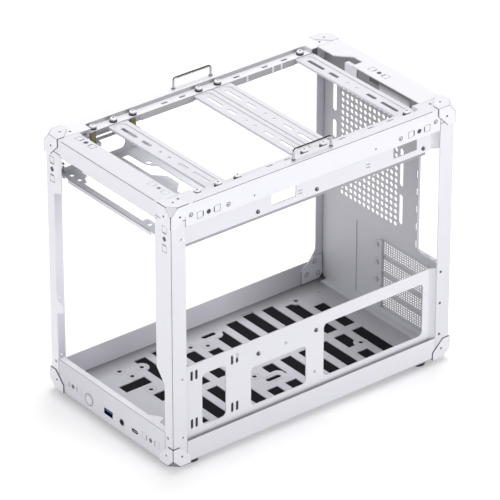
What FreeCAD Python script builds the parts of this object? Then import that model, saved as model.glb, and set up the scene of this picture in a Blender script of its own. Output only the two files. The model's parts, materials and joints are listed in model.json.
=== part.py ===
import FreeCAD, Part
import math
import os

# Driving sizes in millimetres

body_width = 200.5
body_depth = 350.0
body_height = 285.5
sheet = 1.0
bend = 0.6
fit_gap = 0.3

foot_height = 5.0
foot_radius = 8.0
foot_inset_x = 11.5
foot_inset_y = 30.0

cap_proud = 1.0
cap_reach = 21.6
cap_short = 8.8
cap_bevel = 8.9
cap_hole = 1.3

front_side_flange = 17.2
front_face_flange = 25.0
front_face_narrow = 12.5
front_step_high = 105.0
front_step_low = 90.0
left_step_high = 228.0
left_step_low = 224.3
left_lug_high = 100.3
left_lug_low = 93.0
left_root_high = 105.6
left_root_low = 89.0
rear_side_right = 17.3
rear_side_left = 11.0
rear_face_right = 5.0
rear_face_left = 13.0
pillar_foot_reach = 10.7

tray_wall_right = 20.0
tray_wall_left = 24.5
band_pitch = 23.5
band_width = 14.0
band_origin = 15.4
web_left = -4.2
web_right = 5.8
hole_radius = 2.4
spot_radius = 1.2
hole_margin = 7.8

front_panel_height = 35.0
front_panel_lip = 7.0
button_x = -37.0
port_height = 12.9
button_radius = 5.9
button_ring = 7.4
button_travel = 1.2
button_proud = 0.6
usb_x = -5.0
usb_wide = 13.4
usb_high = 6.4
jack_x = 17.1
jack_radius = 3.3
usbc_x = 38.2
usbc_wide = 9.2
usbc_high = 3.4

rail_drop = 24.0
rail_rim = 11.2
ledge_inner = 21.9
ledge_drop = 4.0
ledge_front = 5.5
ledge_rear = 11.1
opening_end = 25.0
inner_lip = 6.0
end_rail_drop = 17.5
end_rail_depth = 25.0
rear_gap = 7.0

screw_inset = 17.2
screw_head = 3.5
screw_high = 2.4
screw_shank = 1.4
washer_radius = 3.9
washer_thick = 1.8

bracket_width = 22.6
bracket_line = 9.5
bracket_lip = 2.4
fan_spacing = 105.0
fan_centre = 11.15
fan_line_gap = 23.5
slot_wide = 4.0
recess_half = 8.0
recess_deep = 0.8

post_radius = 3.3
post_drop = 14.0
post_lines = (-130.5, -82.0)
psu_wall_inset = 4.05
psu_drop = 18.5
psu_ear = 9.4

board_inset = 5.3
board_rail_low = 235.0
board_lip_in = 5.6
board_lip_down = 6.0
plate_low = 21.0
plate_high = 106.0

vent_pitch = 7.1
vent_radius = 2.75
vent_rows = 19
vent_inset = 31.25
vent_low = 115.5
panel_high = 279.0
slot_pitch = 20.32
slot_first = 79.75
slot_open_high = 14.4
cover_inset = 16.25
cover_long = 90.0
cover_high = 18.4
cover_thick = 0.8
aperture_inset = 50.25
aperture_low = 97.5
aperture_wide = 44.45
aperture_high = 158.75

handle_half = 23.2
handle_wire = 1.3
handle_rise = 12.0
handle_bend = 3.2
handle_inset = 5.75

# Planes of the body

half_w = body_width / 2
half_d = body_depth / 2
cap_bottom = foot_height
floor_low = cap_bottom + cap_proud
floor_top = floor_low + sheet
top = floor_low + body_height
inner_w = half_w - sheet
inner_d = half_d - sheet
ledge_top = top - ledge_drop
ledge_under = ledge_top - sheet
screw_x = half_w - screw_inset
fan_low = fan_centre - fan_line_gap / 2
fan_high = fan_centre + fan_line_gap / 2
fan_lines = (fan_low - fan_spacing, fan_low, fan_high, fan_high + fan_spacing)
screw_lines = (post_lines[0], fan_lines[0], post_lines[1], fan_lines[1], fan_lines[2], fan_lines[3])
rear_edge = fan_lines[3] - bracket_line + bracket_width + rear_gap
psu_half = screw_x - psu_wall_inset
vent_left = -half_w + vent_inset
cover_right = half_w - cover_inset
cover_left = cover_right - cover_long
aperture_left = half_w - aperture_inset


def up(height):
    # heights are read from the underside of the corner caps
    return cap_bottom + height


# Shape helpers


def vec(x, y, z):
    return FreeCAD.Vector(x, y, z)


def spot(axis, a, b, along):
    if axis == "x":
        return vec(along, a, b)
    if axis == "y":
        return vec(a, along, b)
    return vec(a, b, along)


def block(x, y, z):
    return Part.makeBox(x[1] - x[0], y[1] - y[0], z[1] - z[0], vec(x[0], y[0], z[0]))


def outline(axis, points, at, radii=0.0):
    # closed wire through the points, each corner rounded by its own radius
    count = len(points)
    if isinstance(radii, (int, float)):
        radii = [radii] * count
    starts = []
    arcs = []
    for i in range(count):
        px, py = points[i]
        ax, ay = points[i - 1]
        bx, by = points[(i + 1) % count]
        r = radii[i]
        if r <= 0:
            starts.append(((px, py), (px, py)))
            arcs.append(None)
            continue
        la = math.hypot(ax - px, ay - py)
        lb = math.hypot(bx - px, by - py)
        ux, uy = (ax - px) / la, (ay - py) / la
        wx, wy = (bx - px) / lb, (by - py) / lb
        half = math.acos(max(-1.0, min(1.0, ux * wx + uy * wy))) / 2
        reach = r / math.tan(half)
        mx, my = ux + wx, uy + wy
        ml = math.hypot(mx, my)
        far = r / math.sin(half) - r
        starts.append(((px + ux * reach, py + uy * reach), (px + wx * reach, py + wy * reach)))
        arcs.append((px + mx / ml * far, py + my / ml * far))
    edges = []
    for i in range(count):
        enter, leave = starts[i]
        if arcs[i]:
            edges.append(Part.Arc(spot(axis, *enter, at), spot(axis, *arcs[i], at), spot(axis, *leave, at)).toShape())
        following = starts[(i + 1) % count][0]
        if math.hypot(following[0] - leave[0], following[1] - leave[1]) > 1e-6:
            edges.append(Part.makeLine(spot(axis, *leave, at), spot(axis, *following, at)))
    return Part.Wire(edges)


def prism(axis, points, low, high, radii=0.0):
    face = Part.Face(outline(axis, points, low, radii))
    return face.extrude(spot(axis, 0, 0, high - low))


def ngon(axis, a, b, radius, low, high, sides=6, turn=0.0):
    ring = []
    for i in range(sides):
        angle = turn + 2 * math.pi * i / sides
        ring.append((a + radius * math.cos(angle), b + radius * math.sin(angle)))
    return prism(axis, ring, low, high)


def rod(axis, a, b, radius, low, high):
    return Part.makeCylinder(radius, high - low, spot(axis, a, b, low), spot(axis, 0, 0, 1))


def stadium(axis, a, b, low, high, end=0.3):
    # slot between a=(a0,a1) and b=(b0,b1), its ends cut to a point-ended hexagon
    if a[1] - a[0] > b[1] - b[0]:
        c = (b[1] - b[0]) * end
        mid = (b[0] + b[1]) / 2
        ring = [(a[0], mid - c / 2), (a[0] + c, b[0]), (a[1] - c, b[0]), (a[1], mid - c / 2),
                (a[1], mid + c / 2), (a[1] - c, b[1]), (a[0] + c, b[1]), (a[0], mid + c / 2)]
    else:
        c = (a[1] - a[0]) * end
        mid = (a[0] + a[1]) / 2
        ring = [(mid - c / 2, b[0]), (mid + c / 2, b[0]), (a[1], b[0] + c), (a[1], b[1] - c),
                (mid + c / 2, b[1]), (mid - c / 2, b[1]), (a[0], b[1] - c), (a[0], b[0] + c)]
    return prism(axis, ring, low, high)


def round_slot(span, line, radius, low, high):
    ring = [(span[0], line - radius), (span[1], line - radius), (span[1], line + radius), (span[0], line + radius)]
    return prism("z", ring, low, high, radius)


def fold(axis, path, low, high, thick=sheet, inner=bend):
    # sheet whose first face follows the path and whose thickness lies to its left
    def normal(p, q):
        length = math.hypot(q[0] - p[0], q[1] - p[1])
        return (-(q[1] - p[1]) / length, (q[0] - p[0]) / length)

    normals = []
    for i in range(len(path) - 1):
        normals.append(normal(path[i], path[i + 1]))
    other = []
    near_radii = []
    far_radii = []
    for i in range(len(path)):
        if i == 0 or i == len(path) - 1:
            n = normals[0] if i == 0 else normals[-1]
            other.append((path[i][0] + n[0] * thick, path[i][1] + n[1] * thick))
            near_radii.append(0.0)
            far_radii.append(0.0)
            continue
        n0, n1 = normals[i - 1], normals[i]
        scale = thick / (1 + n0[0] * n1[0] + n0[1] * n1[1])
        other.append((path[i][0] + (n0[0] + n1[0]) * scale, path[i][1] + (n0[1] + n1[1]) * scale))
        turns_left = n0[0] * n1[1] - n0[1] * n1[0] > 0
        near_radii.append(inner + thick if turns_left else inner)
        far_radii.append(inner if turns_left else inner + thick)
    ring = list(path) + other[::-1]
    return prism(axis, ring, low, high, near_radii + far_radii[::-1])


def joined(shapes):
    solid = shapes[0]
    if len(shapes) > 1:
        solid = shapes[0].multiFuse(shapes[1:])
    return solid.removeSplitter()


def without(shape, tools):
    if tools:
        shape = shape.cut(Part.makeCompound(tools))
    return shape


def mirrored(shape, mirror):
    if mirror:
        return shape.mirror(vec(0, 0, 0), vec(1, 0, 0))
    return shape


def wedge(sx, sy, upper, leg):
    # corner tetrahedron measured inward from the outer planes of a cap
    cx, cy = sx * (half_w + cap_proud), sy * (half_d + cap_proud)
    cz = top + cap_proud if upper else cap_bottom
    lift = -leg if upper else leg
    corner = vec(cx, cy, cz)
    tips = [vec(cx - sx * leg, cy, cz), vec(cx, cy - sy * leg, cz), vec(cx, cy, cz + lift)]
    faces = []
    for trio in ((corner, tips[0], tips[1]), (corner, tips[1], tips[2]), (corner, tips[2], tips[0]), tuple(tips)):
        faces.append(Part.Face(Part.makePolygon(list(trio) + [trio[0]])))
    solid = Part.makeSolid(Part.makeShell(faces))
    if solid.Volume < 0:
        solid.reverse()
    return solid


relief = cap_bevel + math.sqrt(3) * cap_proud + 0.6


def corner_reliefs(upper):
    tools = []
    for sx in (-1, 1):
        for sy in (-1, 1):
            tools.append(wedge(sx, sy, upper, relief))
    return tools


nodes = {}


# Bottom tray with its walls, cut-outs and holes

floor_holes = [(-76, -109), (-61, -104), (-69, -86), (-29, -104.5), (-69, -24), (-61, -8), (-76, 119), (15.5, -8), (30, 118.7)]
floor_spot = (-74, 149)
rim_slots = [(-76.5, (-3.6, 13.6)), (29.6, (-3.8, 14.4))]
rim_slot_wide = 5.5
cut_reach = half_w - 17.0
cut_end = half_w - 24.0
far_reach = half_w - 13.0
band_spans = {
    -5: [(-53, -39.5), (-20, web_left), (web_right, 30), (43.2, 53.7)],
    -4: [(-cut_reach, web_left), (web_right, cut_reach)],
    -3: [(-far_reach, web_left), (web_right, cut_reach)],
    -2: [(-62, web_left), (web_right, cut_reach)],
    -1: [(-52, web_left), (44, 60)],
    0: [(-74, web_left), (web_right, 30), (44, 60)],
    1: [(-cut_reach, web_left), (web_right, cut_reach)],
    2: [(-far_reach, web_left), (web_right, 19), (31, 60)],
    3: [(-cut_reach, web_left), (web_right, cut_reach)],
    4: [(-74, web_left), (web_right, 31), (43.2, cut_end)],
    5: [(-56, web_left), (web_right, cut_end)],
}


def floor_cuts():
    tools = []
    for index, spans in band_spans.items():
        mid = band_origin + band_pitch * index
        for span in spans:
            tools.append(block(span, (mid - band_width / 2, mid + band_width / 2), (floor_low - 1, floor_top + 1)))
    tools.append(block((-52.5, -39), (-127.5, -96), (floor_low - 1, floor_top + 1)))
    keep = []
    for x, y in floor_holes:
        keep.append(rod("z", x, y, hole_margin, floor_low - 2, floor_top + 2))
    for x, (y0, y1) in rim_slots:
        ring = [(x - 10, y0 - 6), (x + 10, y0 - 6), (x + 10, y1 + 6), (x - 10, y1 + 6)]
        keep.append(prism("z", ring, floor_low - 2, floor_top + 2, 7.0))
    tool = Part.makeCompound(tools).cut(Part.makeCompound(keep))
    holes = [tool]
    for x, y in floor_holes:
        holes.append(ngon("z", x, y, hole_radius, floor_low - 1, floor_top + 1, 10))
    for x, (y0, y1) in rim_slots:
        wide = (x - rim_slot_wide / 2, x + rim_slot_wide / 2)
        holes.append(stadium("z", wide, (y0, y1), floor_low - 1, floor_top + 1))
    holes.append(ngon("z", floor_spot[0], floor_spot[1], spot_radius, floor_low - 1, floor_top + 1, 8))
    return holes


def bottom_tray():
    left_top = floor_low + tray_wall_left
    right_top = floor_low + tray_wall_right
    path = [(-half_w, left_top), (-half_w, floor_low), (half_w, floor_low), (half_w, right_top)]
    front = -half_d + front_side_flange + fit_gap
    rear = half_d - rear_side_right - fit_gap
    trough = fold("y", path, front, rear)
    floor = block((-half_w + 2, half_w - 2), (-half_d, half_d), (floor_low, floor_top))
    ends = [
        block((-half_w, half_w), (-half_d, front), (floor_low, floor_top)),
        block((-half_w, half_w), (rear, half_d), (floor_low, floor_top)),
    ]
    solid = joined([trough, floor] + ends)
    left_end = half_d - rear_side_left - pillar_foot_reach - fit_gap
    notch = block((-half_w - 1, -half_w + 2), (left_end, rear + 0.01), (floor_top, left_top + 1))
    return without(solid, floor_cuts() + corner_reliefs(False) + [notch])


def dust_filter():
    wide, narrow, split, end = half_w - 14.0, half_w - 22.0, half_d - 42.0, half_d - 31.0
    ring = [(-narrow, -end), (narrow, -end), (narrow, -split), (wide, -split), (wide, split), (narrow, split),
            (narrow, end), (-narrow, end), (-narrow, split), (-wide, split), (-wide, -split), (-narrow, -split)]
    plate = prism("z", ring, floor_low - 0.8, floor_low)
    rim = 2.5
    inner = [(x - math.copysign(rim, x), y - math.copysign(rim, y)) for x, y in ring]
    frame = prism("z", ring, floor_low - 1.6, floor_low - 0.8).cut(prism("z", inner, floor_low - 2, floor_low))
    return joined([plate, frame])


# Front panel with the button, the ports and their board

clip_half = 12.0
clip_wide = 8.0
clip_deep = 2.6
clip_hole = 2.5
front_x = half_w - front_face_narrow - fit_gap
panel_clip_x = 64.0
panel_clip_z = 15.0
port_z = floor_low + port_height - cap_proud


def front_panel():
    high = floor_low + front_panel_height
    lip = -half_d + front_panel_lip
    solid = fold("x", [(-half_d, floor_top), (-half_d, high), (lip, high)][::-1], -front_x, front_x)
    tab = [(52.0, lip - 1), (52.0, lip), (60.5, lip + 6.5), (66.5, lip + 8.0), (70.0, lip), (70.0, lip - 1)]
    solid = joined([solid, prism("z", tab, high - sheet, high, [0, 0, 2.0, 1.5, 0, 0])])
    y = (-half_d - 1, -half_d + 2)
    tools = [
        ngon("y", button_x, port_z, button_ring - 0.8 + fit_gap, y[0], y[1], 20),
        block((usb_x - usb_wide / 2 - fit_gap, usb_x + usb_wide / 2 + fit_gap), y,
              (port_z - usb_high / 2 - fit_gap, port_z + usb_high / 2 + fit_gap)),
        ngon("y", jack_x, port_z, jack_radius + fit_gap, y[0], y[1], 14),
        stadium("y", (usbc_x - usbc_wide / 2 - fit_gap, usbc_x + usbc_wide / 2 + fit_gap),
                (port_z - usbc_high / 2 - fit_gap, port_z + usbc_high / 2 + fit_gap), y[0], y[1], 0.3),
    ]
    for side in (-1, 1):
        tools.append(ngon("y", side * panel_clip_x, up(panel_clip_z), clip_hole, y[0], y[1], 8))
    return without(solid, tools)


button_front = -half_d - button_proud
button_bore = button_radius + fit_gap
switch_front = -half_d + 7.0
housing_back = switch_front + 6.0


def power_button():
    cap = ngon("y", button_x, port_z, button_radius, button_front, button_front + 3.4, 24)
    stem = ngon("y", button_x, port_z, 1.5, button_front + 3.4, switch_front - button_travel - fit_gap, 10)
    skirt = ngon("y", button_x, port_z, button_radius + 0.7, button_front + 2.6, button_front + 3.4, 24)
    return joined([cap, skirt, stem])


def power_button_housing():
    low, high = -half_d - 0.4, housing_back
    ring = ngon("y", button_x, port_z, button_ring, low, -half_d, 24)
    neck = ngon("y", button_x, port_z, button_ring - 0.8, -half_d, -half_d + sheet, 24)
    barrel = ngon("y", button_x, port_z, button_ring + 1.2, -half_d + sheet, high, 24)
    body = joined([ring, neck, barrel])
    bore = ngon("y", button_x, port_z, button_bore, low - 1, -half_d + 1.7, 24)
    well = ngon("y", button_x, port_z, button_radius + 1.2, -half_d + 1.4, high - 1.2, 24)
    return without(body, [bore, well])


def power_switch():
    base = block((button_x - 3.0, button_x + 3.0), (switch_front + 1.0, housing_back - 1.2), (port_z - 3.0, port_z + 3.0))
    plunger = ngon("y", button_x, port_z, 1.6, switch_front, switch_front + 1.0, 10)
    return joined([base, plunger])


def board_ports():
    board_low = port_z - usb_high / 2 - 1.6
    board = block((usb_x - 14, usbc_x + 14), (-half_d + 3.0, -half_d + 26.0), (board_low, board_low + 1.6))
    legs = []
    for x in (usb_x - 10, usbc_x + 10):
        legs.append(block((x - 3, x + 3), (-half_d + 10.0, -half_d + 16.0), (floor_top, board_low)))
    nodes["io_board"] = joined([board] + legs)
    seat = board_low + 1.6
    y0, y1 = -half_d - 0.2, -half_d + 14.0
    shell = block((usb_x - usb_wide / 2, usb_x + usb_wide / 2), (y0, y1), (port_z - usb_high / 2, port_z + usb_high / 2))
    well = block((usb_x - usb_wide / 2 + 0.6, usb_x + usb_wide / 2 - 0.6), (y0 - 1, y1 - 1.5),
                 (port_z - usb_high / 2 + 0.6, port_z + usb_high / 2 - 0.6))
    tongue = block((usb_x - usb_wide / 2 + 1.2, usb_x + usb_wide / 2 - 1.2), (y0 + 0.8, y1 - 1.5),
                   (port_z + 0.3, port_z + usb_high / 2 - 1.2))
    nodes["usb_a_port"] = joined([without(shell, [well]), tongue])
    barrel = ngon("y", jack_x, port_z, jack_radius, -half_d - 0.3, -half_d + 3.0, 14)
    body = block((jack_x - jack_radius, jack_x + jack_radius), (-half_d + 3.0, -half_d + 14.0), (seat, port_z + jack_radius))
    nodes["audio_jack"] = without(joined([barrel, body]), [ngon("y", jack_x, port_z, 1.75, -half_d - 1, -half_d + 12.0, 12)])
    nose = stadium("y", (usbc_x - usbc_wide / 2, usbc_x + usbc_wide / 2), (port_z - usbc_high / 2, port_z + usbc_high / 2),
                   -half_d - 0.2, -half_d + 9.0)
    pad = block((usbc_x - usbc_wide / 2, usbc_x + usbc_wide / 2), (-half_d + 3.0, -half_d + 10.0), (seat, port_z))
    mouth = stadium("y", (usbc_x - usbc_wide / 2 + 0.5, usbc_x + usbc_wide / 2 - 0.5),
                    (port_z - usbc_high / 2 + 0.5, port_z + usbc_high / 2 - 0.5), -half_d - 1, -half_d + 7.5)
    nodes["usb_c_port"] = without(joined([nose, pad]), [mouth])


# Corner pillars

pillar_clip_right = (half_w - 10.25, 251.5)
pillar_clip_left = (-half_w + 10.25, 250.0)


def pillar_end():
    return (floor_top, top - sheet)


def front_pillar(side):
    low, high = pillar_end()
    path = [(half_w, -half_d + front_side_flange), (half_w, -half_d), (half_w - front_face_flange, -half_d)]
    solid = fold("z", path[::-1], low, high)
    wide = half_w - front_face_flange
    narrow = half_w - front_face_narrow
    y = (-half_d - 1, -half_d + sheet + 0.01)
    rail_low = top - end_rail_drop
    cuts = [block((wide - 1, half_w - cap_reach + 1.2), y, (rail_low - fit_gap, high + 1))]
    if side > 0:
        ring = [(wide - 1, up(front_step_high)), (wide, up(front_step_high)), (narrow, up(front_step_low)),
                (narrow, low - 1), (wide - 1, low - 1)]
        cuts.append(prism("y", ring, y[0], y[1], [0, 0, 4.0, 0, 0]))
    else:
        ring = [(wide - 1, up(left_step_high)), (wide, up(left_step_high)), (narrow, up(left_step_low)),
                (narrow, up(left_root_high)), (wide + 2, up(left_lug_high)), (wide + 2, up(left_lug_low)),
                (narrow, up(left_root_low)), (narrow, low - 1), (wide - 1, low - 1)]
        cuts.append(prism("y", ring, y[0], y[1], [0, 0, 4.0, 2.0, 1.5, 1.5, 2.0, 0, 0]))
    clip_z = pillar_clip_right[1] if side > 0 else pillar_clip_left[1]
    cuts.append(ngon("y", half_w - 10.25, up(clip_z), clip_hole, y[0], y[1], 8))
    for z in (up(31.6), up(97.1), top - 35.0):
        cuts.append(ngon("x", -half_d + 12.0, z, 1.3, inner_w - 1, half_w + 1, 6))
    cuts += [wedge(1, -1, False, relief), wedge(1, -1, True, relief)]
    return mirrored(without(solid, cuts), side < 0)


def rear_pillar(side):
    low, high = pillar_end()
    deep = rear_side_right if side > 0 else rear_side_left
    wide = rear_face_right if side > 0 else rear_face_left
    path = [(half_w, half_d - deep), (half_w, half_d), (half_w - wide, half_d)]
    solid = fold("z", path, low, high)
    cuts = [wedge(1, 1, False, relief), wedge(1, 1, True, relief)]
    if side > 0:
        for z in (28.3, 64.5, 100.6):
            cuts.append(ngon("x", half_d - 12.5, up(z), 1.3, inner_w - 1, half_w + 1, 6))
    else:
        foot = prism("x", [(half_d - deep - pillar_foot_reach, low), (half_d - deep, low), (half_d - deep, up(48)),
                           (half_d - deep - 0.5, up(37)), (half_d - deep - pillar_foot_reach, up(23))], inner_w, half_w)
        solid = joined([solid, foot])
    return mirrored(without(solid, cuts), side < 0)


# Rails of the top frame

flange_clip_y = half_d - 45.0
flange_clip_drop = 16.0
rail_rings = (half_d - 24.0, half_d - 68.5)
ledge_slots = (-43.0, -21.0, 47.0, 83.0, 107.5)
end_clip_x = 58.0
end_clip_y = half_d - 18.0
rail_front = -half_d + front_side_flange + fit_gap
rail_back = half_d - rear_side_right - fit_gap


def bracket_edges(line):
    return (line - bracket_line, line - bracket_line + bracket_width)


def side_rail(side):
    rim = half_w - rail_rim
    inner = half_w - ledge_inner
    front, back = post_lines[0] - ledge_front, fan_lines[3] + ledge_rear
    end_front = half_d - opening_end
    end_rear = rear_edge - fit_gap
    flange = fold("y", [(half_w, top - rail_drop), (half_w, top), (rim, top)], rail_front, rail_back)
    seam = half_w - cap_reach + 1.3
    plates = [
        block((seam, half_w), (-half_d, -end_front + 1), (top - sheet, top)),
        block((seam, half_w), (end_rear - 1, half_d), (top - sheet, top)),
        block((rim - 1, half_w - 2), (-end_front, end_rear), (top - sheet, top)),
        block((inner, half_w - 2), (-end_front, front), (top - sheet, top)),
        block((inner, half_w - 2), (back, end_rear), (top - sheet, top)),
    ]
    pocket = [(inner - 1, front), (rim, front), (rim, back), (inner - 1, back)]
    tub = [(inner, front - sheet), (rim + sheet, front - sheet), (rim + sheet, back + sheet), (inner, back + sheet)]
    well = prism("z", tub, ledge_under, top - sheet / 2, [0, 3.0, 7.0, 0])
    lip_front = post_lines[1] + 7.0
    lip = block((inner, inner + sheet), (lip_front, back + sheet), (ledge_under - inner_lip, ledge_under + 0.5))
    solid = joined([flange, well, lip] + plates)
    cuts = [prism("z", pocket, ledge_top, top + 1, [0, 2.0, 6.0, 0])]
    for line in fan_lines:
        low, high = bracket_edges(line)
        cuts.append(block((inner - 1, inner + sheet + 0.01), (low - 0.6, high + 0.6), (ledge_under - inner_lip - 1, ledge_under)))
    for y in screw_lines:
        cuts.append(ngon("z", screw_x, y, screw_shank + fit_gap, ledge_under - 1, ledge_top + 1, 8))
    for y in ledge_slots:
        cuts.append(stadium("z", (screw_x - 1.3, screw_x + 1.3), (y - 4, y + 4), ledge_under - 1, ledge_top + 1))
    for sy in (-1, 1):
        cuts.append(ngon("x", sy * flange_clip_y, top - flange_clip_drop, clip_hole, inner_w - 1, half_w + 1, 8))
        cuts.append(ngon("z", half_w - handle_inset, sy * handle_half, 1.3, top - 2, top + 1, 8))
    for sy in (-1, 1):
        cuts.append(wedge(1, sy, True, relief))
    return mirrored(without(solid, cuts), side < 0)


def top_front():
    seam = half_w - cap_reach + 1.0
    depth = -half_d + end_rail_depth
    path = [(-half_d, top - end_rail_drop), (-half_d, top), (depth, top), (depth, top - 6.0)]
    solid = fold("x", path[::-1], -seam + 4, seam - 4)
    ends = []
    for s in (-1, 1):
        span = (seam - 5, seam) if s > 0 else (-seam, -seam + 5)
        ends.append(block(span, (-half_d, depth), (top - sheet, top)))
        ends.append(block(span, (-half_d, -inner_d), (top - end_rail_drop, top - sheet / 2)))
    solid = joined([solid] + ends)
    cuts = []
    for s in (-1, 1):
        cuts.append(ngon("z", s * end_clip_x, -end_clip_y, clip_hole, top - 2, top + 1, 8))
    return without(solid, cuts)


rear_clip_x = 4.0
rear_clip_y = (rear_edge + half_d) / 2 - 2.5
notch_left = -54.2
notch_slope = 15.1
notch_right = -25.0
notch_line = half_d - 13.4


def top_rear():
    seam = half_w - cap_reach + 1.0
    ring = [(-seam, half_d), (-seam, rear_edge), (notch_left, rear_edge), (notch_left + notch_slope, notch_line),
            (notch_right, notch_line), (notch_right, rear_edge), (seam, rear_edge), (seam, half_d)]
    plate = prism("z", ring, top - sheet, top)
    flange = block((-seam, seam), (inner_d, half_d), (top - end_rail_drop, top - sheet / 2))
    solid = joined([plate, flange])
    return without(solid, [ngon("z", rear_clip_x, rear_clip_y, clip_hole, top - 2, top + 1, 8)])


# Corner caps

def corner_cap(sx, sy, upper):
    cx, cy = half_w + cap_proud, half_d + cap_proud
    zo = top + cap_proud if upper else cap_bottom
    zs = -1 if upper else 1
    reach, short, cut = cap_reach, cap_short, cap_bevel
    uv = [(cut, 0), (reach, 0), (reach, short), (short, reach), (0, reach), (0, cut)]
    radii = [0, 0, 2.5, 2.5, 0, 0]
    side_ring = [(sy * (cy - u), zo + zs * v) for u, v in uv]
    face_ring = [(sx * (cx - u), zo + zs * v) for u, v in uv]
    flat_ring = [(sx * (cx - u), sy * (cy - v)) for u, v in uv]
    xs = sorted((sx * half_w, sx * cx))
    ys = sorted((sy * half_d, sy * cy))
    zz = sorted((zo, zo + zs * cap_proud))
    plates = [
        prism("x", side_ring, xs[0], xs[1], radii),
        prism("y", face_ring, ys[0], ys[1], radii),
        prism("z", flat_ring, zz[0], zz[1], radii),
    ]
    facet = wedge(sx, sy, upper, cut + math.sqrt(3) * cap_proud).cut(wedge(sx, sy, upper, cut))
    solid = joined(plates + [facet])
    mid = 11.2
    holes = [
        ngon("x", sy * (cy - mid), zo + zs * mid, cap_hole, xs[0] - 1, xs[1] + 1, 6),
        ngon("y", sx * (cx - mid), zo + zs * mid, cap_hole, ys[0] - 1, ys[1] + 1, 6),
        ngon("z", sx * (cx - mid), sy * (cy - mid), cap_hole, zz[0] - 1, zz[1] + 1, 6),
    ]
    return without(solid, holes)


# Fan brackets with their screws and washers

bracket_half = half_w - 12.3
slot_spans = ((22.0, 36.5), (44.5, 70.0))


def fan_bracket(line):
    front, back = bracket_edges(line)
    plate = block((-bracket_half, bracket_half), (front, back), (ledge_under - sheet, ledge_under))
    web = half_w - ledge_inner - 1.0
    lips = [
        block((-web, web), (front, front + sheet), (ledge_under - bracket_lip, ledge_under - sheet / 2)),
        block((-web, web), (back - sheet, back), (ledge_under - bracket_lip, ledge_under - sheet / 2)),
    ]
    span, half = web - 0.9, recess_half
    pad = [(-web, line - half - 0.8), (web, line - half - 0.8), (web, line + half + 0.8), (-web, line + half + 0.8)]
    pocket = [(-span, line - half), (span, line - half), (span, line + half), (-span, line + half)]
    pressed = prism("z", pad, ledge_under - sheet - recess_deep, ledge_under - sheet, 6.0)
    solid = joined([plate, pressed] + lips)
    solid = without(solid, [prism("z", pocket, ledge_under - recess_deep, ledge_under + 1, 6.0)])
    cuts = []
    for s in (-1, 1):
        for a, b in slot_spans:
            span = (a, b) if s > 0 else (-b, -a)
            cuts.append(round_slot(span, line, slot_wide / 2, ledge_under - 3, ledge_under + 1))
        cuts.append(ngon("z", s * 7.0, line, 1.75, ledge_under - 3, ledge_under + 1, 8))
        cuts.append(ngon("z", s * screw_x, line, screw_shank + fit_gap, ledge_under - 2, ledge_under + 1, 8))
    return without(solid, cuts)


def bracket_fasteners():
    screws = []
    washers = []
    posts = []
    seat = ledge_top + washer_thick
    for s in (-1, 1):
        for y in screw_lines:
            x = s * screw_x
            deep = 9.0 if y in post_lines else sheet + 2.0
            head = ngon("z", x, y, screw_head, seat, seat + screw_high * 0.55, 12)
            crown = ngon("z", x, y, screw_head * 0.72, seat + screw_high * 0.55, seat + screw_high, 12)
            shank = ngon("z", x, y, screw_shank, ledge_under - deep, seat, 8)
            screws.append(joined([head, crown, shank]))
            ring = ngon("z", x, y, washer_radius, ledge_top, seat, 12)
            washers.append(without(ring, [ngon("z", x, y, screw_shank + fit_gap, ledge_top - 1, seat + 1, 8)]))
        for y in post_lines:
            post = ngon("z", s * screw_x, y, post_radius, ledge_under - post_drop, ledge_under, 6)
            bore = ngon("z", s * screw_x, y, screw_shank + fit_gap, ledge_under - post_drop + 2, ledge_under + 1, 8)
            posts.append(without(post, [bore]))
    nodes["bracket_screws"] = Part.makeCompound(screws)
    nodes["bracket_washers"] = Part.makeCompound(washers)
    nodes["psu_bracket_posts"] = Part.makeCompound(posts)


# Hanging bracket for the power supply

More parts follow.
